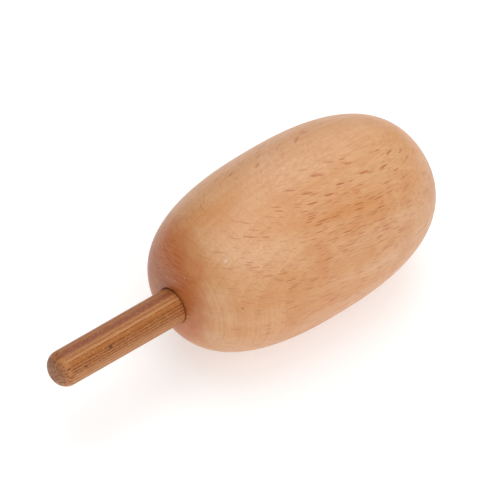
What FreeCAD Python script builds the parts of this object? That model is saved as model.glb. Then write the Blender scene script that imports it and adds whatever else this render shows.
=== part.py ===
import FreeCAD, Part
import math
import os

# A small wooden shaker: a turned, egg-shaped beech head on a bamboo handle. The head is bored from
# its far end for a chamber of loose steel shot, and a glued plug closes the bore.
#
# Frame: millimetres, +Z up. The shaker lies on its side with the turning axis of the head along X and
# the handle towards -X. The origin is under the middle of the whole shaker, on the surface it lies on.

# ---- head ----
HEAD_HALF_LENGTH = 41.8      # along the turning axis
HEAD_RADIUS = 24.5           # at the middle
HEAD_LENGTH_POWER = 2.43     # how full the outline is lengthwise; 2 would be an ellipse
HEAD_RADIUS_POWER = 2.9      # how full the outline is across; 2 would be an ellipse
OUTLINE_STEPS = 12           # spans of the outline from the middle of the head to either end

# ---- handle, a dowel glued into a drilled socket ----
HANDLE_DIAMETER = 10.0
HANDLE_STICKOUT = 41.0       # from the end of the head to the tip
HANDLE_TIP_ROUND = 3.8       # rounding radius of the tip
HANDLE_INNER_CHAMFER = 0.6
HANDLE_LEAN_DEG = 1.6        # the socket was drilled a little askew, so the tip rises
HANDLE_CROSSING = 24.0       # how far outside the head the handle's axis crosses the turning axis
SOCKET_DEPTH = 20.0
SOCKET_PLAY = 0.3            # socket diameter less handle diameter
SOCKET_REST_GAP = 0.05       # glue line under the handle, which lies in the bottom of its socket
SOCKET_LAND = 0.4            # flat wood left round the mouth of the socket
SETTING_LINE_WIDTH = 0.6     # an added groove that ends the grip at the head; the real dowel most likely has none
SETTING_LINE_DEPTH = 0.2
SETTING_LINE_INSET = 0.1     # how far inside the end of the head the line starts

# ---- chamber and its plug ----
CHAMBER_DIAMETER = 20.0
CHAMBER_WEB = 5.0            # solid wood between the socket and the chamber
PLUG_LENGTH = 8.0            # from the end of the head inwards
PLUG_STEP = 1.0              # width of the step that the plug seats on
PLUG_GLUE_GAP = 0.05         # glue line round the plug

# ---- shot ----
SHOT_DIAMETER = 4.0
SHOT_GAP = 0.2               # between a shot and the chamber wall
SHOT_ROW_GAP = 0.36          # between a side row and the middle row, seen from above
MIDDLE_ROW_SHOT = 8          # these fill the chamber's length
SIDE_ROW_SHOT = 6

# ---- sizes that follow ----
SOCKET_RADIUS = (HANDLE_DIAMETER + SOCKET_PLAY) / 2
CHAMBER_RADIUS = CHAMBER_DIAMETER / 2
PLUG_SEAT_RADIUS = CHAMBER_RADIUS + PLUG_STEP
HANDLE_RADIUS = HANDLE_DIAMETER / 2
SHOT_RADIUS = SHOT_DIAMETER / 2
SHOT_FROM_AXIS = CHAMBER_RADIUS - SHOT_GAP - SHOT_RADIUS
LEAN = math.radians(HANDLE_LEAN_DEG)
SOCKET_LIFT = SOCKET_PLAY / 2 - SOCKET_REST_GAP
NOSE_FLAT_RADIUS = HANDLE_CROSSING * math.sin(LEAN) - SOCKET_LIFT + SOCKET_RADIUS + SOCKET_LAND
NOSE_TURN = math.pi - math.asin((NOSE_FLAT_RADIUS / HEAD_RADIUS) ** (HEAD_RADIUS_POWER / 2))

X_AXIS = FreeCAD.Vector(1, 0, 0)
TIP_WAY = FreeCAD.Vector(-math.cos(LEAN), 0, math.sin(LEAN))     # along the handle, to its tip
LEAN_UP = FreeCAD.Vector(math.sin(LEAN), 0, math.cos(LEAN))      # square to the handle, upwards

# Places along the turning axis, measured from the middle of the head.
SOCKET_END_AT = -HEAD_HALF_LENGTH + SOCKET_DEPTH
CHAMBER_START_AT = SOCKET_END_AT + CHAMBER_WEB
PLUG_SEAT_AT = HEAD_HALF_LENGTH - PLUG_LENGTH

# The handle's tip, and how far the whole shaker reaches in -X from the middle of the head.
TIP_FROM_CROSSING = HANDLE_STICKOUT - HANDLE_CROSSING
TIP_REACH = (
    HEAD_HALF_LENGTH + HANDLE_CROSSING
    + (TIP_FROM_CROSSING - HANDLE_TIP_ROUND) * math.cos(LEAN)
    + (HANDLE_RADIUS - HANDLE_TIP_ROUND) * math.sin(LEAN)
    + HANDLE_TIP_ROUND
)
HEAD_CENTRE = FreeCAD.Vector((TIP_REACH - HEAD_HALF_LENGTH) / 2, 0, HEAD_RADIUS)
CROSSING = HEAD_CENTRE - X_AXIS * (HEAD_HALF_LENGTH + HANDLE_CROSSING)


def on_axis(along):
    """The point of the turning axis that lies this far from the middle of the head."""
    return HEAD_CENTRE + X_AXIS * along


def cylinder(start, end, radius):
    """A solid cylinder between two points."""
    way = end - start
    return Part.makeCylinder(radius, way.Length, start, way)


def outline_point(turn):
    """A point of the head's outline. The turn goes from 0 at the far end to NOSE_TURN at the handle."""
    along = abs(math.cos(turn)) ** (2 / HEAD_LENGTH_POWER) * math.copysign(1, math.cos(turn))
    across = math.sin(turn) ** (2 / HEAD_RADIUS_POWER)
    return on_axis(HEAD_HALF_LENGTH * along) + FreeCAD.Vector(0, 0, HEAD_RADIUS * across)


def make_egg():
    """The solid egg that the outside of the head and the plug are turned to, with its nose flat for drilling."""
    quarter = math.pi / 2
    steps = [step / OUTLINE_STEPS for step in range(OUTLINE_STEPS + 1)]
    far_half = [outline_point(quarter * share) for share in steps]
    near_half = [outline_point(quarter + (NOSE_TURN - quarter) * share) for share in steps]
    points = far_half + near_half[1:]
    nose = FreeCAD.Vector(points[-1].x, HEAD_CENTRE.y, HEAD_CENTRE.z)
    outline = Part.BSplineCurve()
    outline.interpolate(points)
    wire = Part.Wire([
        outline.toShape(),
        Part.LineSegment(points[-1], nose).toShape(),
        Part.LineSegment(nose, points[0]).toShape(),
    ])
    return Part.Face(wire).revolve(HEAD_CENTRE, X_AXIS, 360)


def make_head(egg):
    """The egg with its handle socket, its chamber and the seat for the plug cut away."""
    outside = HEAD_HALF_LENGTH * 2
    socket_end = CROSSING - TIP_WAY * (HANDLE_CROSSING + SOCKET_DEPTH) + LEAN_UP * SOCKET_LIFT
    socket = cylinder(socket_end, CROSSING + LEAN_UP * SOCKET_LIFT, SOCKET_RADIUS)
    chamber = cylinder(on_axis(CHAMBER_START_AT), on_axis(outside), CHAMBER_RADIUS)
    seat = cylinder(on_axis(PLUG_SEAT_AT), on_axis(outside), PLUG_SEAT_RADIUS)
    return egg.cut(socket).cut(chamber).cut(seat)


def make_end_plug(egg):
    """A short cylinder on the seat, its outer face turned flush with the head."""
    blank = cylinder(on_axis(PLUG_SEAT_AT), on_axis(HEAD_HALF_LENGTH * 2), PLUG_SEAT_RADIUS - PLUG_GLUE_GAP)
    return egg.common(blank)


def edges_at(shape, centre, radius):
    """The circular edges of a shape that have this centre and radius."""
    found = []
    for edge in shape.Edges:
        curve = edge.Curve
        if isinstance(curve, Part.Circle) and (curve.Center - centre).Length < 0.01:
            if abs(curve.Radius - radius) < 0.01:
                found.append(edge)
    return found


def make_handle():
    """The dowel, rounded at its tip, chamfered at its inner end and marked where it enters the head."""
    inner = CROSSING - TIP_WAY * (HANDLE_CROSSING + SOCKET_DEPTH)
    tip = CROSSING + TIP_WAY * TIP_FROM_CROSSING
    dowel = cylinder(inner, tip, HANDLE_RADIUS)
    dowel = dowel.makeFillet(HANDLE_TIP_ROUND, edges_at(dowel, tip, HANDLE_RADIUS))
    dowel = dowel.makeChamfer(HANDLE_INNER_CHAMFER, edges_at(dowel, inner, HANDLE_RADIUS))
    line_start = CROSSING - TIP_WAY * (HANDLE_CROSSING + SETTING_LINE_INSET)
    line_end = line_start - TIP_WAY * SETTING_LINE_WIDTH
    core = cylinder(line_start, line_end, HANDLE_RADIUS - SETTING_LINE_DEPTH)
    return dowel.cut(cylinder(line_start, line_end, HANDLE_DIAMETER).cut(core))


def shot_row(count, angle):
    """Centres of one row of shot, this far up the chamber's round floor and centred in its length."""
    middle = (CHAMBER_START_AT + PLUG_SEAT_AT) / 2
    pitch = (PLUG_SEAT_AT - CHAMBER_START_AT - 2 * SHOT_GAP - SHOT_DIAMETER) / (MIDDLE_ROW_SHOT - 1)
    lift = FreeCAD.Vector(0, math.sin(angle), -math.cos(angle)) * SHOT_FROM_AXIS
    return [on_axis(middle + pitch * (index - (count - 1) / 2)) + lift for index in range(count)]


def shot_centres():
    """Centres of all the shot: a middle row, and a row up each side of it, clear of it from above."""
    side = math.asin((SHOT_DIAMETER + SHOT_ROW_GAP) / SHOT_FROM_AXIS)
    return (
        shot_row(MIDDLE_ROW_SHOT, 0)
        + shot_row(SIDE_ROW_SHOT, side)
        + shot_row(SIDE_ROW_SHOT, -side)
    )


def main():
    os.makedirs("parts", exist_ok=True)
    egg = make_egg()
    nodes = {
        "head": make_head(egg),
        "end_plug": make_end_plug(egg),
        "handle": make_handle(),
    }
    for number, centre in enumerate(shot_centres(), start=1):
        nodes[f"shot_{number:02d}"] = Part.makeSphere(SHOT_RADIUS, centre)
    for name, shape in nodes.items():
        shape.exportStep(f"parts/{name}.step")
        print(f"{name}: {shape.Volume:.1f} mm3, valid {shape.isValid()}")


main()
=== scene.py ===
# %% [markdown]
# # A wooden shaker
# This lesson dresses a small maraca that was designed in CAD: a turned, egg-shaped beech head on a bamboo
# handle, with a glued plug and loose steel shot inside. The CAD model is loaded first and is never moved.
# Each wooden piece is then modelled again with Blender's own tools, finely enough to look real close up.

# %% Load the CAD model
import math

import bpy
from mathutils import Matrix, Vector


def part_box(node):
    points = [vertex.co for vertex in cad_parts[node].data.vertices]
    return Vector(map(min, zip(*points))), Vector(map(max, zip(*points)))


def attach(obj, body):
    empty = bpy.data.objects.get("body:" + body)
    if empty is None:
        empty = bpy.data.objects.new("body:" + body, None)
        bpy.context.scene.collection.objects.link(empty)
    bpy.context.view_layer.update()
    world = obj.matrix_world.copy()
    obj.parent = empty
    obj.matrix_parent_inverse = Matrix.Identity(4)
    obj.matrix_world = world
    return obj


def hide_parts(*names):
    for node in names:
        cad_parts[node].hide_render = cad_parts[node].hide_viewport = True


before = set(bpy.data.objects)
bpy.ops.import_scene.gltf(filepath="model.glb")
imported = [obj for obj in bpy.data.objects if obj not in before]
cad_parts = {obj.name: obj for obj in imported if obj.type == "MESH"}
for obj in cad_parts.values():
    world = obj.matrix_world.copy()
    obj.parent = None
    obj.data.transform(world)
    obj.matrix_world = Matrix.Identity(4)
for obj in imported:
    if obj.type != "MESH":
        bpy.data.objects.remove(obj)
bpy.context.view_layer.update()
bpy.context.scene.view_settings.view_transform = "Standard"

# %% [markdown]
# The shaker's own sizes come next, in metres. The places are read from the CAD model's boxes, so the pieces
# land where the CAD pieces are. The head lies along X, its handle towards -X, and rests on the floor at Z = 0.

# %% Sizes and places
MM = 0.001
far_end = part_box("end_plug")[1].x
head_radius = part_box("head")[1].z / 2
HEAD_HALF_LENGTH = 41.8 * MM
HEAD_LENGTH_POWER = 2.43
HEAD_RADIUS_POWER = 2.9
head_centre = Vector((far_end - HEAD_HALF_LENGTH, 0, head_radius))

HANDLE_RADIUS = 5.0 * MM
HANDLE_STICKOUT = 41.0 * MM
HANDLE_TIP_ROUND = 3.8 * MM
HANDLE_CROSSING = 24.0 * MM
HANDLE_LEAN = math.radians(1.6)
SOCKET_RADIUS = 5.15 * MM
SOCKET_LIFT = 0.1 * MM
SOCKET_DEPTH = 20.0 * MM
along_handle = Vector((-math.cos(HANDLE_LEAN), 0, math.sin(HANDLE_LEAN)))
across_handle = Vector((math.sin(HANDLE_LEAN), 0, math.cos(HANDLE_LEAN)))
crossing = head_centre - Vector((HEAD_HALF_LENGTH + HANDLE_CROSSING, 0, 0))
print("head centre:", [round(c, 5) for c in head_centre], "radius:", round(head_radius, 5))

# %% [markdown]
# A small object seen from close up shows strong perspective, and the flat look of a product picture comes
# from standing far back with a long lens instead. The camera here is some metres away.

# %% The camera
LENS = 1000.0                        # millimetres, on a 36 mm sensor
SENSOR = 36.0
VIEW_WIDTH = 131.25 * MM             # what the frame spans at the head's middle
AZIMUTH = math.radians(-41.4)
ELEVATION = math.radians(42.8)
AIM_LEFT = 11.05 * MM                # the camera aims left of the head's middle and below it
AIM_DOWN = 4.6 * MM

camera_back = Vector((
    math.sin(AZIMUTH) * math.cos(ELEVATION),
    -math.cos(AZIMUTH) * math.cos(ELEVATION),
    math.sin(ELEVATION),
))
camera_right = Vector((math.cos(AZIMUTH), math.sin(AZIMUTH), 0))
camera_up = camera_back.cross(camera_right)
aim = head_centre - camera_right * AIM_LEFT - camera_up * AIM_DOWN
bpy.ops.object.camera_add(location=aim + camera_back * (VIEW_WIDTH * LENS / SENSOR))
camera = bpy.context.active_object
camera.rotation_euler = (-camera_back).to_track_quat("-Z", "Y").to_euler()
camera.data.lens = LENS
camera.data.sensor_width = SENSOR
camera.data.clip_end = 20.0
bpy.context.scene.camera = camera
print("camera at:", [round(c, 3) for c in camera.location])

# %% [markdown]
# Satin wood wants soft light. A hard lamp would draw sharp highlights that sanded wood doesn't have, so the
# shaker stands in a bright, even room, with three large softboxes: one overhead, one in front, and one
# behind and to the right that lifts the far shoulder off the backdrop.

# %% Light
SOFTBOX_SIZE = 0.9
SOFTBOX_FAR = 1.1
SOFTBOXES = (                        # azimuth and elevation in degrees, and power in watts
    ("overhead", 0, 90, 5.8),
    ("front", -15, 42, 4.9),
    ("rear", 135, 42, 3.3),
)


def way_to(azimuth_deg, elevation_deg):
    """The direction towards a place round the shaker, where azimuth 0 is in front, at -Y."""
    azimuth, elevation = math.radians(azimuth_deg), math.radians(elevation_deg)
    return Vector((
        math.sin(azimuth) * math.cos(elevation),
        -math.cos(azimuth) * math.cos(elevation),
        math.sin(elevation),
    ))


for side, azimuth_deg, elevation_deg, watts in SOFTBOXES:
    way = way_to(azimuth_deg, elevation_deg)
    bpy.ops.object.light_add(type="AREA", location=head_centre + way * SOFTBOX_FAR)
    softbox = bpy.context.active_object
    softbox.name = "softbox_" + side
    softbox.rotation_euler = way.to_track_quat("Z", "Y").to_euler()
    softbox.data.shape = "SQUARE"
    softbox.data.size = SOFTBOX_SIZE
    softbox.data.energy = watts
    softbox.visible_camera = False
    print(softbox.name, [round(c, 2) for c in softbox.location], watts, "W")

# %% [markdown]
# Two helpers make every material: one turns the hex colours that a paint chart gives into the linear values
# that Blender mixes, and one adds a node with its settings and links in a single call. Materials could be
# clicked together in the shader editor, but in code every size and colour can be read and changed.

# %% Helpers for materials
def linear(hex_colour):
    """A hex sRGB colour, such as "D9A878", as linear red, green, blue and an alpha of 1."""
    channels = [int(hex_colour[i:i + 2], 16) / 255 for i in (0, 2, 4)]
    return [c / 12.92 if c <= 0.04045 else ((c + 0.055) / 1.055) ** 2.4 for c in channels] + [1.0]


def add_node(tree, kind, inputs=None, **settings):
    """Adds a node. An input is named or counted, and takes a value, or a node or output to link."""
    made = tree.nodes.new("ShaderNode" + kind)
    for name, value in settings.items():
        setattr(made, name, value)
    for name, value in (inputs or {}).items():
        named = [socket for socket in made.inputs if socket.enabled and socket.name == name]
        socket = named[0] if named else made.inputs[name]
        if isinstance(value, bpy.types.Node):
            value = next(output for output in value.outputs if output.enabled)
        if isinstance(value, bpy.types.NodeSocket):
            tree.links.new(value, socket)
        else:
            socket.default_value = value
    return made


def new_material(name):
    """An empty material, all nodes cleared. The finish's own nodes end in its shader and an output."""
    material = bpy.data.materials.new(name)
    material.use_nodes = True
    material.node_tree.nodes.clear()
    return material, material.node_tree


print("helpers ready")

# %% [markdown]
# The room itself is pale grey all round, but for one darker wall behind the handle's side. Without it, light
# from everywhere would flatten the nose, and the egg would lose its roundness. A low camera looks past the
# table's edge, so what it sees straight behind the shaker is white backdrop paper.

# %% The room
ROOM_LIGHT = 0.30
DARK_WALL_WAY = Vector((-0.78, 0.55, 0.30)).normalized()
DARK_WALL_LEVEL = 0.35
PAPER_LIGHT = 0.80
room = bpy.data.worlds.new("pale_room")
bpy.context.scene.world = room
room.use_nodes = True
tree = room.node_tree
tree.nodes.clear()
looking = add_node(tree, "TexCoord").outputs["Generated"]
towards = add_node(tree, "VectorMath", {0: looking, 1: DARK_WALL_WAY}, operation="DOT_PRODUCT")
strength = add_node(tree, "MapRange", {
    "Value": towards.outputs["Value"], "From Min": 0.0, "From Max": 0.8,
    "To Min": ROOM_LIGHT, "To Max": ROOM_LIGHT * DARK_WALL_LEVEL,
}, interpolation_type="SMOOTHSTEP")
seen = add_node(tree, "LightPath").outputs["Is Camera Ray"]
strength = add_node(tree, "Mix", {"Factor": seen, "A": strength, "B": PAPER_LIGHT})
sky = add_node(tree, "Background", {"Color": (1.0, 1.0, 1.0, 1.0), "Strength": strength})
add_node(tree, "OutputWorld", {"Surface": sky})
print("room light:", ROOM_LIGHT, "down to", round(ROOM_LIGHT * DARK_WALL_LEVEL, 3))

# %% [markdown]
# The floor is a plain white acrylic shooting table that is lit a little from below. It keeps the shadow under
# the shaker pale, and its light fills the wood's underside, which a dark table would leave muddy.

# %% The floor
FLOOR_SIZE = 12.0
TABLE_GLOW = 0.50
acrylic, tree = new_material("matt_white_acrylic")
place = add_node(tree, "TexCoord").outputs["Object"]
haze = add_node(tree, "TexNoise", {"Vector": place, "Scale": 900.0, "Detail": 3.0})
tone = add_node(tree, "Mix", {
    "Factor": haze, "A": linear("D0D0D0"), "B": linear("D3D3D3"),
}, data_type="RGBA")
shader = add_node(tree, "BsdfPrincipled", {
    "Base Color": tone, "Roughness": 0.9, "Specular IOR Level": 0.2,
    "Emission Color": (1.0, 1.0, 1.0, 1.0), "Emission Strength": TABLE_GLOW,
})
add_node(tree, "OutputMaterial", {"Surface": shader})

bpy.ops.object.select_all(action="DESELECT")
bpy.ops.mesh.primitive_plane_add(size=FLOOR_SIZE, location=(0, 0, 0))
floor = bpy.context.active_object
floor.name = "floor"
floor.data.materials.append(acrylic)
print("floor:", [round(side, 2) for side in floor.dimensions[:2]], "m")

# %% [markdown]
# ## Turning on a lathe
# The head, the plug and the handle are all round, so they are made as a turner makes them: half an outline
# is drawn, then spun about its axis. The outline starts as one vertex, and each extrusion draws the next
# stroke. A mesh circle stretched ring by ring would work too, but an outline is easier to read and change.

# %% A helper that draws an outline and turns it
MERGE_WITHIN = 0.0005 * MM


def start_edit(piece_name, place):
    """A new object with a single selected vertex at a place, in edit mode."""
    bpy.ops.object.select_all(action="DESELECT")
    bpy.ops.mesh.primitive_plane_add(size=MM, location=place)
    piece = bpy.context.active_object
    piece.name = piece_name
    piece.data.name = piece_name
    bpy.ops.object.mode_set(mode="EDIT")
    bpy.ops.mesh.merge(type="CENTER")
    return piece


def turn(piece_name, outline, centre, axis, steps):
    """Draws an outline stroke by stroke and spins it into a closed piece whose faces point outwards."""
    piece = start_edit(piece_name, outline[0])
    for here, there in zip(outline, outline[1:]):
        bpy.ops.mesh.extrude_region_move(TRANSFORM_OT_translate={"value": there - here})
    bpy.ops.mesh.select_all(action="SELECT")
    bpy.ops.mesh.spin(steps=steps, angle=2 * math.pi, center=centre, axis=axis)
    bpy.ops.mesh.select_all(action="SELECT")
    bpy.ops.mesh.remove_doubles(threshold=MERGE_WITHIN)
    bpy.ops.mesh.normals_make_consistent(inside=False)
    bpy.ops.object.mode_set(mode="OBJECT")
    bpy.ops.object.transform_apply(location=True, rotation=True, scale=True)
    return piece


def smooth(piece, sharpest_deg=35):
    """Shades a piece smooth, except over edges sharper than this."""
    bpy.ops.object.select_all(action="DESELECT")
    piece.select_set(True)
    bpy.context.view_layer.objects.active = piece
    bpy.ops.object.shade_smooth_by_angle(angle=math.radians(sharpest_deg))


def arc(centre, radius, from_deg, to_deg, count):
    """Points of an arc, as (along, out) pairs. 0 degrees points along, and 90 points out."""
    angles = [math.radians(from_deg + (to_deg - from_deg) * i / count) for i in range(count + 1)]
    return [(centre[0] + radius * math.cos(a), centre[1] + radius * math.sin(a)) for a in angles]


print("lathe ready")

# %% [markdown]
# ## The head
# The real head is one block of beech, turned to an egg and sanded. Its outline is a superellipse: fuller
# than an ellipse at the shoulders, nearly flat at the nose. The formula is in a function, since the plug is
# turned to the same outline. Strokes are closer together towards the nose, where the outline bends most.

# %% The egg's outline
def egg_along(out):
    """How far from the head's middle the outline is, at this distance from the axis."""
    return HEAD_HALF_LENGTH * (1 - (out / head_radius) ** HEAD_RADIUS_POWER) ** (1 / HEAD_LENGTH_POWER)


def egg_out(turned):
    """How far out the outline is, for a turn from 0 at an end to a quarter turn at the middle."""
    return head_radius * math.sin(turned) ** (2 / HEAD_RADIUS_POWER)


def on_head(along, out):
    """A point of the outline's upper half, from its place along the axis and its distance from it."""
    return head_centre + Vector((along, 0, out))


print("outline at 11 mm out:", round(egg_along(11 * MM) / MM, 2), "mm from the middle")

# %% [markdown]
# The outline runs from the nose over the shoulder and the belly to the far end, then back inside: down the
# step that the plug seats on and along the chamber. Each sharp corner that shows has a small round, because
# sandpaper leaves no wooden edge sharp, and a round edge catches a thin line of light.

# %% Turn the head
CHAMBER_RADIUS = 10.0 * MM
PLUG_SEAT_RADIUS = 11.0 * MM
PLUG_SEAT_AT = HEAD_HALF_LENGTH - 8.0 * MM
CHAMBER_START_AT = -HEAD_HALF_LENGTH + 25.0 * MM
NOSE_FLAT_RADIUS = (
    HANDLE_CROSSING * math.sin(HANDLE_LEAN) - SOCKET_LIFT + SOCKET_RADIUS + 0.4 * MM
)
RIM_ROUND = 0.12 * MM
OUTLINE_STROKES = 56
HEAD_STEPS = 256

nose_turn = math.asin((NOSE_FLAT_RADIUS / head_radius) ** (HEAD_RADIUS_POWER / 2))
rim_turn = math.asin(((PLUG_SEAT_RADIUS + RIM_ROUND) / head_radius) ** (HEAD_RADIUS_POWER / 2))
nose_at = -egg_along(NOSE_FLAT_RADIUS)
rim_at = egg_along(PLUG_SEAT_RADIUS + RIM_ROUND)

outline = [(nose_at, NOSE_FLAT_RADIUS * i / 8) for i in range(8)]
for i in range(OUTLINE_STROKES + 1):
    out = egg_out(nose_turn + (math.pi / 2 - nose_turn) * i / OUTLINE_STROKES)
    outline.append((-egg_along(out), out))
for i in range(1, OUTLINE_STROKES + 1):
    out = egg_out(math.pi / 2 + (rim_turn - math.pi / 2) * i / OUTLINE_STROKES)
    outline.append((egg_along(out), out))
outline += arc((rim_at - RIM_ROUND, PLUG_SEAT_RADIUS + RIM_ROUND), RIM_ROUND, -20, -90, 4)
outline += [
    (PLUG_SEAT_AT, PLUG_SEAT_RADIUS),
    (PLUG_SEAT_AT, CHAMBER_RADIUS),
    (CHAMBER_START_AT, CHAMBER_RADIUS),
    (CHAMBER_START_AT, 0.0),
]
head = turn("turned_head", [on_head(*point) for point in outline], head_centre, (1, 0, 0), HEAD_STEPS)
print("head:", len(head.data.polygons), "faces")

# %% [markdown]
# The socket was drilled after turning, a little askew. A cutter with the drill's shape is turned about the
# handle's own axis and taken away with a Boolean modifier. Its mouth flares in a small curve, which leaves
# the wood round the hole softly rounded, as a few strokes of sandpaper do.

# %% Drill the socket
MOUTH_ROUND = 0.08 * MM
DRILL_STEPS = 128


def on_socket(along, out):
    """A point of the socket's outline. Along runs from the crossing point towards the handle's tip."""
    return crossing + across_handle * (SOCKET_LIFT + out) + along_handle * along


mouth_at = -HANDLE_CROSSING * math.cos(HANDLE_LEAN) - (HEAD_HALF_LENGTH + nose_at)
flare = arc((mouth_at - MOUTH_ROUND, SOCKET_RADIUS + MOUTH_ROUND), MOUTH_ROUND, -90, 0, 6)
drill_outline = [
    (-HANDLE_CROSSING - SOCKET_DEPTH, 0.0),
    (-HANDLE_CROSSING - SOCKET_DEPTH, SOCKET_RADIUS),
    *flare,
    (mouth_at + MM, SOCKET_RADIUS + 2 * MOUTH_ROUND),
    (mouth_at + MM, 0.0),
]
drill_centre = crossing + across_handle * SOCKET_LIFT
drill = turn("drill", [on_socket(*p) for p in drill_outline], drill_centre, along_handle, DRILL_STEPS)
cut = head.modifiers.new("drill_socket", "BOOLEAN")
cut.operation = "DIFFERENCE"
cut.solver = "EXACT"
cut.object = drill
bpy.ops.object.select_all(action="DESELECT")
bpy.context.view_layer.objects.active = head
bpy.ops.object.modifier_apply(modifier=cut.name)
bpy.data.objects.remove(drill)
smooth(head)
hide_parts("head")
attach(head, "shaker")
print("drilled head:", len(head.data.polygons), "faces")

# %% [markdown]
# ## The end plug
# The chamber is closed by a plug of the same beech, glued on its step and turned flush, so its outer face
# continues the egg. A hair of a gap and two rounded rims make the joint readable as a fine dark ring.

# %% Turn the plug
PLUG_RADIUS = 10.95 * MM
DOME_STROKES = 14

plug_rim_at = egg_along(PLUG_RADIUS - RIM_ROUND)
outline = [(PLUG_SEAT_AT, 0.0), (PLUG_SEAT_AT, PLUG_RADIUS)]
outline += arc((plug_rim_at - RIM_ROUND, PLUG_RADIUS - RIM_ROUND), RIM_ROUND, 90, 20, 4)
for i in range(1, DOME_STROKES + 1):
    out = (PLUG_RADIUS - RIM_ROUND) * (1 - i / DOME_STROKES)
    outline.append((egg_along(out), out))
plug = turn("turned_end_plug", [on_head(*point) for point in outline], head_centre, (1, 0, 0), HEAD_STEPS)
smooth(plug)
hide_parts("end_plug")
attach(plug, "shaker")
print("plug:", len(plug.data.polygons), "faces")

# %% [markdown]
# ## The handle
# The handle is a length of bamboo dowel, rounded over at its tip until only a small flat is left. The CAD
# handle also has a narrow groove just inside the hole, which a real dowel most likely hasn't. It ends the
# handle's grip there, and it is turned here too, so that both models have the same shape.

# %% Turn the handle
HANDLE_STEPS = 192
INNER_CHAMFER = 0.6 * MM
SETTING_LINE_START = -HANDLE_CROSSING - 0.1 * MM     # just inside the head
SETTING_LINE_WIDTH = 0.6 * MM
SETTING_LINE_DEPTH = 0.2 * MM
TIP_AT = HANDLE_STICKOUT - HANDLE_CROSSING
SHAFT_RINGS = 40


def on_handle(along, out):
    """A point of the handle's outline. Along runs from the crossing point towards the handle's tip."""
    return crossing + across_handle * out + along_handle * along


inner_at = -HANDLE_CROSSING - SOCKET_DEPTH
shaft_end = TIP_AT - HANDLE_TIP_ROUND
outline = [
    (inner_at, 0.0),
    (inner_at, HANDLE_RADIUS - INNER_CHAMFER),
    (inner_at + INNER_CHAMFER, HANDLE_RADIUS),
    (SETTING_LINE_START - SETTING_LINE_WIDTH, HANDLE_RADIUS),
    (SETTING_LINE_START - SETTING_LINE_WIDTH, HANDLE_RADIUS - SETTING_LINE_DEPTH),
    (SETTING_LINE_START, HANDLE_RADIUS - SETTING_LINE_DEPTH),
]
for i in range(SHAFT_RINGS):
    outline.append((SETTING_LINE_START + (shaft_end - SETTING_LINE_START) * i / SHAFT_RINGS, HANDLE_RADIUS))
outline += arc((shaft_end, HANDLE_RADIUS - HANDLE_TIP_ROUND), HANDLE_TIP_ROUND, 90, 0, 20)
outline.append((TIP_AT, 0.0))
handle = turn("bamboo_handle", [on_handle(*p) for p in outline], crossing, along_handle, HANDLE_STEPS)
smooth(handle)
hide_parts("handle")
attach(handle, "shaker")
print("handle:", len(handle.data.polygons), "faces")

# %% [markdown]
# ## Beech
# Beech has no bold pattern. What the eye knows it by is its rays: thin ribbons of cells that stand in the
# plane of the trunk's radius. Where the surface cuts across them they are short brown dashes, and where it
# runs along them they are broad silky flecks. A flat texture can't do that, so the wood here is solid: its
# pattern fills space in the grain's own directions, and the turned surface cuts through it.

# %% Beech grain in space
GRAIN_PITCH = math.radians(7.64)     # how far the fibres lean from the turning axis
GRAIN_ROLL = math.radians(2.0)
fibre_way = Vector((math.cos(GRAIN_PITCH), 0, -math.sin(GRAIN_PITCH)))
ray_length_way = Vector((0, 1, 0))   # rays run out along the trunk's radius


def grain_space(tree, roll=0.0, shift_mm=(0.0, 0.0, 0.0)):
    """Millimetres from the head's middle: X along the fibres, Y along the trunk's radius, Z across the rays."""
    place = add_node(tree, "TexCoord").outputs["Object"]
    centred = add_node(tree, "VectorMath", {0: place, 1: head_centre}, operation="SUBTRACT")
    upright = add_node(tree, "Mapping", {
        "Vector": centred,
        "Location": shift_mm,
        "Rotation": (GRAIN_ROLL + roll, -GRAIN_PITCH, 0.0),
        "Scale": (1 / MM, 1 / MM, 1 / MM),
    })
    # no trunk grows quite straight: the fibres wander by up to a millimetre over 25 mm
    bend = add_node(tree, "TexNoise", {"Vector": upright, "Scale": 1 / 25, "Detail": 1.0})
    wander = add_node(tree, "VectorMath", {
        0: bend.outputs["Color"], 1: (0.0, 2.4, 2.4), 2: upright,
    }, operation="MULTIPLY_ADD")
    return centred, wander


print("fibres run along", [round(c, 3) for c in fibre_way])

# %% [markdown]
# A ray runs outwards through the whole trunk, so its pattern needs only two directions, and a flat Voronoi
# pattern fills them: each cell is one ray, up to 4 mm tall along the fibres and a third of a millimetre
# thick. Each cell rolls dice for its size and for whether its ray shows, because sanding and oil bring out
# some rays and hide others. Where the surface runs along a ray instead of across it, the ray only shimmers,
# so there it fades. The thinnest real rays would be too fine to show, so they are drawn a little coarser.

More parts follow.
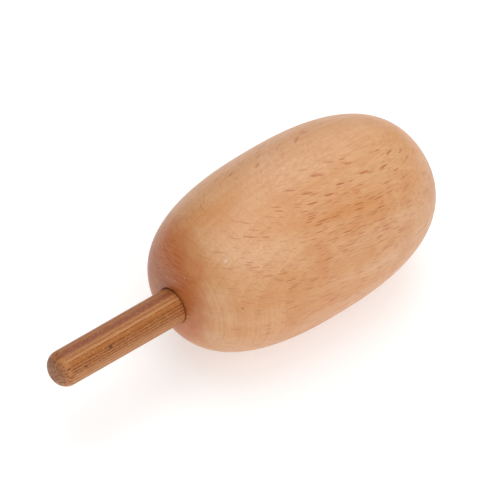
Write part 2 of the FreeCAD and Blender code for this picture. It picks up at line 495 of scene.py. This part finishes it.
# %% Rays
def ray_flecks(tree, grain, tall_mm, apart_mm, share, biggest=0.34):
    """How much each point is inside a ray, from 0 to 1. Share is the part of the cells that show one."""
    way = add_node(tree, "SeparateXYZ", {"Vector": grain})
    flat = add_node(tree, "CombineXYZ", {"X": way.outputs[0], "Y": way.outputs[2]})
    stretched = add_node(tree, "Mapping", {
        "Vector": flat, "Scale": (tall_mm, apart_mm, 1.0),
    }, vector_type="TEXTURE")
    cell = add_node(tree, "TexVoronoi", {
        "Vector": stretched, "Scale": 1.0, "Randomness": 1.0,
    }, voronoi_dimensions="2D")
    dice = add_node(tree, "SeparateColor", {"Color": cell.outputs["Color"]})
    reach = add_node(tree, "MapRange", {"Value": dice.outputs[0], "To Min": biggest * 0.4, "To Max": biggest})
    depth = add_node(tree, "Math", {0: cell.outputs["Distance"], 1: reach}, operation="DIVIDE")
    shape = add_node(tree, "MapRange", {
        "Value": depth, "From Min": 1.0, "From Max": 0.55, "To Min": 0.0, "To Max": 1.0,
    }, interpolation_type="SMOOTHSTEP")
    unlucky = add_node(tree, "Math", {0: 1.0, 1: share}, operation="SUBTRACT")
    above = add_node(tree, "Math", {0: dice.outputs[1], 1: unlucky}, operation="SUBTRACT")
    shown = add_node(tree, "Math", {0: above, 1: 8.0}, operation="MULTIPLY", use_clamp=True)
    facing = add_node(tree, "TexCoord").outputs["Normal"]
    cut = add_node(tree, "VectorMath", {0: facing, 1: ray_length_way}, operation="DOT_PRODUCT")
    cut = add_node(tree, "Math", {0: cut.outputs["Value"]}, operation="ABSOLUTE")
    edge_on = add_node(tree, "MapRange", {
        "Value": cut, "From Min": 0.10, "From Max": 0.40, "To Min": 0.12, "To Max": 1.0,
    })
    along = add_node(tree, "VectorMath", {0: facing, 1: fibre_way}, operation="DOT_PRODUCT")
    along = add_node(tree, "Math", {0: along.outputs["Value"]}, operation="ABSOLUTE")
    off_the_ends = add_node(tree, "MapRange", {
        "Value": along, "From Min": 0.9, "From Max": 0.45, "To Min": 0.2, "To Max": 1.0,
    })
    for amount in (shown, edge_on, off_the_ends):
        shape = add_node(tree, "Math", {0: shape, 1: amount}, operation="MULTIPLY")
    return shape


print("rays run along", tuple(ray_length_way))

# %% [markdown]
# A turner sands a spinning piece, so the scratches are fine rings round the axis. They are drawn half a
# millimetre apart, about twice the real spacing, because finer ones would blur away. They come and go, and
# show most on the shoulders.

# %% Sanding rings
RING_SPACING = 0.5 * MM


def sanding_rings(tree, centred):
    """Fine rings from 0 to 1, from the place along the axis and the distance from it."""
    place = add_node(tree, "SeparateXYZ", {"Vector": centred})
    across = add_node(tree, "CombineXYZ", {"X": place.outputs[1], "Y": place.outputs[2]})
    out = add_node(tree, "VectorMath", {0: across}, operation="LENGTH").outputs["Value"]
    slow = add_node(tree, "VectorMath", {0: across, 1: (0.02, 0.02, 0.0)}, operation="MULTIPLY")
    level = add_node(tree, "CombineXYZ", {"X": place.outputs[0], "Y": out})
    level = add_node(tree, "VectorMath", {0: level, 1: slow}, operation="ADD")
    rings = add_node(tree, "TexNoise", {
        "Vector": level, "Scale": 1 / RING_SPACING, "Detail": 2.0, "Roughness": 0.6,
    })
    return add_node(tree, "MapRange", {"Value": rings, "From Min": 0.3, "From Max": 0.7})


print("rings", RING_SPACING / MM, "mm apart")

# %% [markdown]
# Under the rays lies the wood's own colour: drifts from pale to orange along the grain, faint year rings, and
# fibres as fine as hair. End grain drinks more oil than side grain, so the wood darkens where the surface
# cuts across the fibres. The material finds such places by comparing the surface's direction with theirs.
# That darkening is also pushed further towards +Y, the back of the nose, and this part is painted shade.

# %% The wood's own colour
def beech_ground(tree, centred, grain):
    """The colour of the oiled wood between its rays."""
    # drifts about 40 mm long and 7 mm across
    stretched = add_node(tree, "Mapping", {"Vector": grain, "Scale": (48.0, 12.0, 7.0)}, vector_type="TEXTURE")
    drift = add_node(tree, "TexNoise", {"Vector": stretched, "Scale": 1.0, "Detail": 3.0, "Roughness": 0.5})
    drift = add_node(tree, "MapRange", {"Value": drift, "From Min": 0.36, "From Max": 0.64})
    colour = add_node(tree, "Mix", {
        "Factor": drift, "A": linear("D79961"), "B": linear("DFAE82"),
    }, data_type="RGBA")
    # orange patches about 6 mm wide, longer across the grain than along it
    stretched = add_node(tree, "Mapping", {"Vector": grain, "Scale": (7.0, 12.0, 9.0)}, vector_type="TEXTURE")
    patch = add_node(tree, "TexNoise", {"Vector": stretched, "Scale": 1.0, "Detail": 2.0})
    patch = add_node(tree, "MapRange", {
        "Value": patch, "From Min": 0.50, "From Max": 0.75, "To Max": 0.45,
    }, interpolation_type="SMOOTHSTEP")
    colour = add_node(tree, "Mix", {"Factor": patch, "A": colour, "B": linear("CE8850")}, data_type="RGBA")
    # year rings 2.6 mm apart, square to the trunk's radius
    year = add_node(tree, "TexWave", {
        "Vector": grain, "Scale": math.pi / 10 / 2.6, "Distortion": 1.6, "Detail": 2.0, "Detail Scale": 0.5,
    }, bands_direction="Y", wave_profile="SAW")
    year = add_node(tree, "Math", {0: year, 1: 0.22}, operation="MULTIPLY")
    colour = add_node(tree, "Mix", {"Factor": year, "A": colour, "B": linear("BE7C48")}, data_type="RGBA")
    return colour


def end_grain_and_painted_shade(tree, grain):
    """From 0 on side grain to 1 where the surface cuts square across the fibres, with painted shade towards +Y.
    """
    facing = add_node(tree, "TexCoord").outputs["Normal"]
    along = add_node(tree, "VectorMath", {0: facing, 1: fibre_way}, operation="DOT_PRODUCT").outputs["Value"]
    either_way = add_node(tree, "Math", {0: along}, operation="ABSOLUTE")
    uneven = add_node(tree, "TexNoise", {"Vector": grain, "Scale": 1 / 5, "Detail": 5.0, "Roughness": 0.62})
    soak_and_painted_shade = add_node(tree, "Math", {0: uneven, 1: 0.42, 2: either_way}, operation="MULTIPLY_ADD")
    # painted shade: the darkening reaches further towards +Y, the back of the nose, where less light falls
    painted_back_shade = add_node(tree, "SeparateXYZ", {"Vector": grain}).outputs[1]
    soak_and_painted_shade = add_node(tree, "Math", {0: painted_back_shade, 1: 0.018, 2: soak_and_painted_shade}, operation="MULTIPLY_ADD")
    return add_node(tree, "MapRange", {
        "Value": soak_and_painted_shade, "From Min": 0.76, "From Max": 1.20,
    }, interpolation_type="SMOOTHSTEP")


print("ground ready")

# %% [markdown]
# All of it comes together in one finish: steamed beech, turned, sanded and wiped with oil. It is satin, with a
# soft grey sheen where the surface turns away. Sandpaper bites a little deeper into the rays than into
# the wood around them, so they also sit a hair lower.

# %% The beech finish
FIBRE_MM = (4.0, 0.42, 0.21)         # how long, deep and wide a hair of wood is
BOLD_RAYS_MM = (6.2, 0.50)           # cells along the fibres and across the rays
FINE_RAYS_MM = (4.6, 0.42)
END_HAIRS_MM = (4.0, 4.5, 0.34)      # on end grain the rays run out along the trunk's radius
CHIP_PLACE = Vector((-11.4, -9.9, 40.7)) * MM        # a pale nick on the shoulder
PIN_PLACE = Vector((-12.3, -17.7, 29.9)) * MM        # a dark pin knot


def oiled_beech(name, roll=0.0, shift_mm=(0.0, 0.0, 0.0)):
    """Steamed beech, turned, sanded while spinning, and oiled."""
    material, tree = new_material(name)
    centred, grain = grain_space(tree, roll, shift_mm)
    colour = beech_ground(tree, centred, grain)

    # hair-fine fibres
    stretched = add_node(tree, "Mapping", {"Vector": grain, "Scale": FIBRE_MM}, vector_type="TEXTURE")
    fibre = add_node(tree, "TexNoise", {"Vector": stretched, "Scale": 1.0, "Detail": 3.0, "Roughness": 0.6})
    fibre_tone = add_node(tree, "MapRange", {
        "Value": fibre, "From Min": 0.38, "From Max": 0.66, "To Max": 0.52,
    })
    colour = add_node(tree, "Mix", {"Factor": fibre_tone, "A": colour, "B": linear("C67D44")}, data_type="RGBA")

    # rays show more towards the far end
    place = add_node(tree, "SeparateXYZ", {"Vector": centred})
    share = add_node(tree, "MapRange", {
        "Value": place.outputs[0], "From Min": -28 * MM, "From Max": 12 * MM, "To Min": 0.27, "To Max": 0.42,
    })
    # and less on the side nearer the trunk's heart
    sapwood = add_node(tree, "MapRange", {
        "Value": place.outputs[1], "From Min": 14 * MM, "From Max": -2 * MM, "To Min": 0.3, "To Max": 1.0,
    })
    share = add_node(tree, "Math", {0: share, 1: sapwood}, operation="MULTIPLY")
    bold = ray_flecks(tree, grain, *BOLD_RAYS_MM, share)
    fine = ray_flecks(tree, grain, *FINE_RAYS_MM, 0.42)
    fine_tone = add_node(tree, "Math", {0: fine, 1: 0.55}, operation="MULTIPLY")
    colour = add_node(tree, "Mix", {"Factor": fine_tone, "A": colour, "B": linear("B9652C")}, data_type="RGBA")
    bold_tone = add_node(tree, "Math", {0: bold, 1: 0.85}, operation="MULTIPLY")
    colour = add_node(tree, "Mix", {"Factor": bold_tone, "A": colour, "B": linear("B25C26")}, data_type="RGBA")

    # darker, redder end grain; towards +Y on the nose this mask also carries painted shade
    soaked_and_painted_shade = end_grain_and_painted_shade(tree, grain)
    colour = add_node(tree, "Mix", {
        "Factor": soaked_and_painted_shade, "A": colour, "B": linear("BE5C1A"),
    }, data_type="RGBA")
    # on end grain the rays are pale hairs
    stretched = add_node(tree, "Mapping", {"Vector": grain, "Scale": END_HAIRS_MM}, vector_type="TEXTURE")
    hairs = add_node(tree, "TexNoise", {"Vector": stretched, "Scale": 1.0, "Detail": 3.0, "Roughness": 0.65})
    hairs = add_node(tree, "MapRange", {"Value": hairs, "From Min": 0.44, "From Max": 0.62, "To Max": 0.55})
    hairs = add_node(tree, "Math", {0: hairs, 1: soaked_and_painted_shade}, operation="MULTIPLY")
    colour = add_node(tree, "Mix", {"Factor": hairs, "A": colour, "B": linear("D08E54")}, data_type="RGBA")

    rings = sanding_rings(tree, centred)
    stretched = add_node(tree, "Mapping", {"Vector": grain, "Scale": (10.0, 10.0, 10.0)}, vector_type="TEXTURE")
    patchy = add_node(tree, "TexNoise", {"Vector": stretched, "Scale": 1.0, "Detail": 1.0})
    patchy = add_node(tree, "MapRange", {"Value": patchy, "From Min": 0.40, "From Max": 0.65, "To Min": 0.2})
    shoulder = add_node(tree, "Math", {0: place.outputs[0]}, operation="ABSOLUTE")
    shoulder = add_node(tree, "MapRange", {
        "Value": shoulder, "From Min": 8 * MM, "From Max": 24 * MM, "To Min": 0.15,
    })
    off_the_ends = add_node(tree, "MapRange", {
        "Value": soaked_and_painted_shade, "From Min": 0.2, "From Max": 0.7, "To Min": 1.0, "To Max": 0.45,
    })
    rings = add_node(tree, "Math", {0: rings, 1: off_the_ends}, operation="MULTIPLY")
    rings = add_node(tree, "Math", {0: rings, 1: patchy}, operation="MULTIPLY")
    rings = add_node(tree, "Math", {0: rings, 1: shoulder}, operation="MULTIPLY")
    ring_tone = add_node(tree, "Math", {0: rings, 1: 0.45}, operation="MULTIPLY")
    colour = add_node(tree, "Mix", {"Factor": ring_tone, "A": colour, "B": linear("E4B88C")}, data_type="RGBA")

    # the two small marks
    for mark, radius, tint, tone in (
        (CHIP_PLACE, 0.62 * MM, "E6CDBB", 0.55), (PIN_PLACE, 0.28 * MM, "5A2E16", 0.9),
    ):
        far = add_node(tree, "VectorMath", {
            0: centred, 1: mark - head_centre,
        }, operation="DISTANCE").outputs["Value"]
        near = add_node(tree, "MapRange", {
            "Value": far, "From Min": radius, "From Max": radius * 0.4, "To Min": 0.0, "To Max": tone,
        })
        colour = add_node(tree, "Mix", {"Factor": near, "A": colour, "B": linear(tint)}, data_type="RGBA")

    height = add_node(tree, "Math", {0: fibre, 1: 0.010}, operation="MULTIPLY")
    height = add_node(tree, "Math", {0: rings, 1: 0.006, 2: height}, operation="MULTIPLY_ADD")
    height = add_node(tree, "Math", {0: bold, 1: -0.004, 2: height}, operation="MULTIPLY_ADD")
    relief = add_node(tree, "Bump", {"Height": height, "Distance": MM, "Strength": 0.7})
    dull = add_node(tree, "MapRange", {
        "Value": fibre, "From Min": 0.3, "From Max": 0.7, "To Min": 0.38, "To Max": 0.50,
    })
    shader = add_node(tree, "BsdfPrincipled", {
        "Base Color": colour, "Roughness": dull, "Normal": relief, "IOR": 1.5,
        "Coat Weight": 0.15, "Coat Roughness": 0.32,
    })
    add_node(tree, "OutputMaterial", {"Surface": shader})
    return material


head.data.materials.append(oiled_beech("oiled_beech"))
plug.data.materials.append(oiled_beech("oiled_beech_plug", math.radians(24), (3.0, 7.0, 5.0)))
print("beech on:", head.name, "and", plug.name)

# %% [markdown]
# ## Bamboo
# Bamboo is a bundle of straight dark fibres in paler pith, packed closer towards the outside of the culm. A
# dowel cut from it shows them as lines that run its whole length, in bands from dense to sparse, and on the
# rounded tip, where they are cut across, as dots. That is one pattern in the stick's cross-section, carried
# along it, so the texture is made in the handle's own leaning space.

# %% Bamboo bands
WALL_WAY = Vector((-0.018, -0.771, -0.637))          # through the culm's wall, across the stick
PALE_PITH, STEAMED_WALL = "C48750", "B4743E"
DENSE_FIBRES, GOLDEN_CORE = "8E4826", "B06B2D"
BANDS = (                                            # millimetres through the wall, and the colour there
    (-5.0, STEAMED_WALL), (-4.0, STEAMED_WALL),
    (-3.6, DENSE_FIBRES), (-2.9, DENSE_FIBRES),
    (-2.4, STEAMED_WALL), (-1.2, PALE_PITH), (-0.7, PALE_PITH),
    (-0.3, GOLDEN_CORE), (0.8, GOLDEN_CORE),
    (1.4, STEAMED_WALL), (2.8, STEAMED_WALL),
    (3.3, PALE_PITH), (5.0, PALE_PITH),
)
BAND_REACH = 5.0                                     # the ramp covers the stick from edge to edge, in mm
sideways_in_wall = along_handle.cross(WALL_WAY).normalized()


def bamboo_space(tree):
    """Millimetres from the crossing: X along the stick, Y through the culm's wall, Z across. And Y alone."""
    place = add_node(tree, "TexCoord").outputs["Object"]
    centred = add_node(tree, "VectorMath", {0: place, 1: crossing}, operation="SUBTRACT")
    ways = [
        add_node(tree, "VectorMath", {0: centred, 1: way / MM}, operation="DOT_PRODUCT").outputs["Value"]
        for way in (along_handle, WALL_WAY, sideways_in_wall)
    ]
    return add_node(tree, "CombineXYZ", {"X": ways[0], "Y": ways[1], "Z": ways[2]}), ways[1]


def bamboo_bands(tree, through):
    """The colour of the pith and fibres together, by how deep in the culm's wall a point is."""
    amount = add_node(tree, "MapRange", {
        "Value": through, "From Min": -BAND_REACH, "From Max": BAND_REACH,
    })
    ramp = add_node(tree, "ValToRGB", {"Fac": amount})
    stops = ramp.color_ramp.elements
    while len(stops) < len(BANDS):
        stops.new(0.5)
    for stop, (depth, tint) in zip(stops, BANDS):
        stop.position = (depth + BAND_REACH) / (2 * BAND_REACH)
        stop.color = linear(tint)
    return ramp.outputs["Color"]


print(len(BANDS), "bands")

# %% [markdown]
# Along the side the bundles are dark lines, broken where the turning has only grazed them. A few are darker
# than the rest and run the whole way. On the rounded tip the saw and the sandpaper cut across all of them,
# so there the bands give way to pale pith sown with dark dots.

# %% Bamboo bundles
DARK_BUNDLES = (                     # depth in the wall and half the width, in millimetres
    (-0.55, 0.12), (0.70, 0.15), (1.55, 0.17), (2.25, 0.14), (2.90, 0.10),
)
BUNDLES_APART_MM = 0.72


def bundle_dots(tree, space):
    """Dots in the stick's cross-section from 0 to 1, each with its own strength."""
    stretched = add_node(tree, "Mapping", {
        "Vector": space, "Scale": (400.0, BUNDLES_APART_MM, BUNDLES_APART_MM),
    }, vector_type="TEXTURE")
    bundle = add_node(tree, "TexVoronoi", {"Vector": stretched, "Scale": 1.0, "Randomness": 0.8})
    dice = add_node(tree, "SeparateColor", {"Color": bundle.outputs["Color"]})
    dot = add_node(tree, "MapRange", {
        "Value": bundle.outputs["Distance"], "From Min": 0.52, "From Max": 0.34, "To Min": 0.0, "To Max": 1.0,
    })
    strength = add_node(tree, "MapRange", {"Value": dice.outputs[0], "From Max": 0.6, "To Min": 0.45})
    return add_node(tree, "Math", {0: dot, 1: strength}, operation="MULTIPLY")


def long_bundles(tree, space, through):
    """The few dark bundles that run the stick's whole length, from 0 to 1, each broken into dashes."""
    stretched = add_node(tree, "Mapping", {"Vector": space, "Scale": (0.9, 0.5, 9.0)}, vector_type="TEXTURE")
    dashes = add_node(tree, "TexNoise", {"Vector": stretched, "Scale": 1.0, "Detail": 2.0, "Roughness": 0.7})
    dashes = add_node(tree, "MapRange", {"Value": dashes, "From Min": 0.35, "From Max": 0.55, "To Min": 0.35})
    lines = None
    for depth, half_width in DARK_BUNDLES:
        off = add_node(tree, "Math", {0: through, 1: depth}, operation="SUBTRACT")
        off = add_node(tree, "Math", {0: off}, operation="ABSOLUTE")
        line = add_node(tree, "MapRange", {
            "Value": off, "From Min": half_width * 1.5, "From Max": half_width * 0.6,
            "To Min": 0.0, "To Max": 1.0,
        })
        lines = line if lines is None else add_node(tree, "Math", {0: lines, 1: line}, operation="MAXIMUM")
    return add_node(tree, "Math", {0: lines, 1: dashes}, operation="MULTIPLY")


print(len(DARK_BUNDLES), "long bundles")

# %% [markdown]
# The finish lays all that on the stick: the bands first, then the cut fibres of the tip, the bundles, and
# streaks and flecks of pith between them. Steaming turned the whole stick brown, and sanding left it silky
# but not glossy, so it is a little rougher than the oiled beech. Two dark specks give it its own face.

# %% The bamboo finish
STREAK_MM = (5.0, 0.2, 0.2)          # how long, deep and wide a streak is
PITH_FLECK_MM = (0.9, 0.24, 0.24)
DARK_SPECKS = (                      # place and radius, in millimetres
    ((-46.07, -4.03, 27.47), 0.55),
    ((-55.01, -4.65, 26.58), 0.42),
)


def steamed_bamboo(name):
    """Bamboo dowel browned by steam and sanded: silky along its fibres, brown with dark lines."""
    material, tree = new_material(name)
    space, through = bamboo_space(tree)
    stretched = add_node(tree, "Mapping", {"Vector": space, "Scale": (30.0, 3.0, 3.0)}, vector_type="TEXTURE")
    wobble = add_node(tree, "TexNoise", {"Vector": stretched, "Scale": 1.0, "Detail": 2.0})
    wobble = add_node(tree, "MapRange", {"Value": wobble, "To Min": -0.25, "To Max": 0.25})
    through = add_node(tree, "Math", {0: wobble, 1: through}, operation="ADD")
    colour = bamboo_bands(tree, through)

    # the tip, where the fibres are cut across; its flat end face is tinted grey brown, a painted sheen
    facing = add_node(tree, "TexCoord").outputs["Normal"]
    square_on = add_node(tree, "VectorMath", {0: facing, 1: along_handle}, operation="DOT_PRODUCT")
    cut = add_node(tree, "MapRange", {
        "Value": square_on.outputs["Value"], "From Min": 0.12, "From Max": 0.45,
    }, interpolation_type="SMOOTHSTEP")
    flat_tip_sheen = add_node(tree, "MapRange", {
        "Value": square_on.outputs["Value"], "From Min": 0.45, "From Max": 0.85, "To Max": 0.75,
    }, interpolation_type="SMOOTHSTEP")
    # A87A5C on the flat end is painted grey sheen; C78450 is the cut pith's own colour
    tip_pith_and_sheen = add_node(tree, "Mix", {
        "Factor": flat_tip_sheen, "A": linear("C78450"), "B": linear("A87A5C"),
    }, data_type="RGBA")
    mostly = add_node(tree, "Math", {0: cut, 1: 0.75}, operation="MULTIPLY")
    colour = add_node(tree, "Mix", {"Factor": mostly, "A": colour, "B": tip_pith_and_sheen}, data_type="RGBA")

    dots = bundle_dots(tree, space)
    dot_tone = add_node(tree, "MapRange", {"Value": cut, "To Min": 0.45, "To Max": 0.95})
    dot_tone = add_node(tree, "Math", {0: dots, 1: dot_tone}, operation="MULTIPLY")
    colour = add_node(tree, "Mix", {"Factor": dot_tone, "A": colour, "B": linear("6E3012")}, data_type="RGBA")

    lines = long_bundles(tree, space, through)
    on_side = add_node(tree, "Math", {0: 0.85, 1: mostly}, operation="SUBTRACT", use_clamp=True)
    line_tone = add_node(tree, "Math", {0: lines, 1: on_side}, operation="MULTIPLY")
    colour = add_node(tree, "Mix", {"Factor": line_tone, "A": colour, "B": linear("70340F")}, data_type="RGBA")

    # fine streaks
    stretched = add_node(tree, "Mapping", {"Vector": space, "Scale": STREAK_MM}, vector_type="TEXTURE")
    streak = add_node(tree, "TexNoise", {"Vector": stretched, "Scale": 1.0, "Detail": 3.0, "Roughness": 0.7})
    streak_tone = add_node(tree, "MapRange", {
        "Value": streak, "From Min": 0.42, "From Max": 0.66, "To Max": 0.5,
    })
    colour = add_node(tree, "Mix", {
        "Factor": streak_tone, "A": colour, "B": linear("8E4C20"),
    }, data_type="RGBA")
    # short pale flecks of pith between them
    stretched = add_node(tree, "Mapping", {"Vector": space, "Scale": PITH_FLECK_MM}, vector_type="TEXTURE")
    pale = add_node(tree, "TexNoise", {"Vector": stretched, "Scale": 1.0, "Detail": 2.0})
    pale = add_node(tree, "MapRange", {"Value": pale, "From Min": 0.56, "From Max": 0.74, "To Max": 0.5})
    colour = add_node(tree, "Mix", {"Factor": pale, "A": colour, "B": linear("D9A878")}, data_type="RGBA")

    for mark_mm, radius_mm in DARK_SPECKS:
        off = Vector(mark_mm) * MM - crossing
        middle = [off.dot(way) / MM for way in (along_handle, WALL_WAY, sideways_in_wall)]
        away = add_node(tree, "VectorMath", {0: space, 1: middle}, operation="SUBTRACT")
        away = add_node(tree, "VectorMath", {0: away, 1: (0.6, 1.0, 1.0)}, operation="MULTIPLY")
        far = add_node(tree, "VectorMath", {0: away}, operation="LENGTH").outputs["Value"]
        near = add_node(tree, "MapRange", {
            "Value": far, "From Min": radius_mm, "From Max": radius_mm * 0.3, "To Min": 0.0, "To Max": 0.85,
        })
        colour = add_node(tree, "Mix", {"Factor": near, "A": colour, "B": linear("46281C")}, data_type="RGBA")

    height = add_node(tree, "Math", {0: dots, 1: -0.03}, operation="MULTIPLY")
    height = add_node(tree, "Math", {0: lines, 1: -0.05, 2: height}, operation="MULTIPLY_ADD")
    height = add_node(tree, "Math", {0: streak, 1: 0.03, 2: height}, operation="MULTIPLY_ADD")
    relief = add_node(tree, "Bump", {"Height": height, "Distance": MM, "Strength": 0.7})
    dull = add_node(tree, "MapRange", {
        "Value": streak, "From Min": 0.3, "From Max": 0.7, "To Min": 0.42, "To Max": 0.55,
    })
    shader = add_node(tree, "BsdfPrincipled", {
        "Base Color": colour, "Roughness": dull, "Normal": relief, "IOR": 1.4,
    })
    add_node(tree, "OutputMaterial", {"Surface": shader})
    return material


handle.data.materials.append(steamed_bamboo("steamed_bamboo"))
print("bamboo on:", handle.name)

# %% [markdown]
# ## Glue
# A few specks of wood glue dried on the nose where the handle was pushed home. Each starts as a small ball,
# pressed flat against the wood and pushed out of true, because a perfect bead would look machined.

# %% Glue specks
GLUE_SPECKS = (                      # place on the nose, and radius, in millimetres
    ((-20.6, -0.2, 32.5), 0.20),
    ((-19.6, -3.0, 34.9), 0.14),
    ((-20.4, -7.9, 28.0), 0.16),
    ((-21.0, -5.8, 24.1), 0.20),
    ((-20.8, -5.1, 19.6), 0.16),
)


def on_egg(place):
    """The nearest point of the head's outside in line with its middle, and the direction away from it there."""
    away = place - head_centre
    out = Vector((0, away.y, away.z)).length
    along = abs(away.x) / HEAD_HALF_LENGTH
    fullness = along ** HEAD_LENGTH_POWER + (out / head_radius) ** HEAD_RADIUS_POWER
    scale = fullness ** (-1 / (0.5 * (HEAD_LENGTH_POWER + HEAD_RADIUS_POWER)))
    steep = HEAD_LENGTH_POWER / HEAD_HALF_LENGTH * along ** (HEAD_LENGTH_POWER - 1)
    rising = HEAD_RADIUS_POWER / head_radius * (out / head_radius) ** (HEAD_RADIUS_POWER - 1)
    facing = Vector((math.copysign(steep, away.x), rising * away.y / out, rising * away.z / out))
    return head_centre + away * scale, facing.normalized()


specks = []
for place_mm, radius_mm in GLUE_SPECKS:
    spot, facing = on_egg(Vector(place_mm) * MM)
    bpy.ops.object.select_all(action="DESELECT")
    bpy.ops.mesh.primitive_uv_sphere_add(
        segments=14, ring_count=8, radius=radius_mm * MM, location=spot,
        rotation=facing.to_track_quat("Z", "Y").to_euler(), scale=(1.0, 1.7, 0.4),
    )
    speck = bpy.context.active_object
    bpy.ops.object.mode_set(mode="EDIT")
    bpy.ops.mesh.select_all(action="SELECT")
    bpy.ops.transform.vertex_random(offset=radius_mm * MM * 0.2, seed=len(specks) + 3)
    bpy.ops.mesh.normals_make_consistent(inside=False)
    bpy.ops.object.mode_set(mode="OBJECT")
    specks.append(speck)
for speck in specks:
    speck.select_set(True)
bpy.ops.object.join()
glue = bpy.context.active_object
glue.name = glue.data.name = "glue_specks"
bpy.ops.object.transform_apply(location=True, rotation=True, scale=True)
smooth(glue, 80)
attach(glue, "shaker")

pva, tree = new_material("dried_wood_glue")
place = add_node(tree, "TexCoord").outputs["Object"]
cloudy = add_node(tree, "TexNoise", {"Vector": place, "Scale": 1 / (0.2 * MM)})
tone = add_node(tree, "Mix", {"Factor": cloudy, "A": linear("C08E68"), "B": linear("DDBFA2")}, data_type="RGBA")
shader = add_node(tree, "BsdfPrincipled", {"Base Color": tone, "Roughness": 0.5, "IOR": 1.4})
add_node(tree, "OutputMaterial", {"Surface": shader})
glue.data.materials.append(pva)
print("glue specks:", len(specks))

# %% [markdown]
# ## Shot
# The shot is sealed in the chamber, but it is there, and each ball is its own moving piece. The CAD spheres
# are right as they are and get a plain steel.

# %% Steel for the shot
steel, tree = new_material("plain_steel_shot")
place = add_node(tree, "TexCoord").outputs["Object"]
wear = add_node(tree, "TexNoise", {"Vector": place, "Scale": 1 / MM, "Detail": 2.0})
tone = add_node(tree, "Mix", {"Factor": wear, "A": linear("A8A8AC"), "B": linear("C2C2C4")}, data_type="RGBA")
dull = add_node(tree, "MapRange", {
    "Value": wear, "From Min": 0.3, "From Max": 0.7, "To Min": 0.28, "To Max": 0.42,
})
shader = add_node(tree, "BsdfPrincipled", {"Base Color": tone, "Roughness": dull, "Metallic": 1.0})
add_node(tree, "OutputMaterial", {"Surface": shader})
shot = [node for name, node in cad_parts.items() if name.startswith("shot_")]
for ball in shot:
    ball.data.materials.clear()
    ball.data.materials.append(steel)
print("shot:", len(shot))
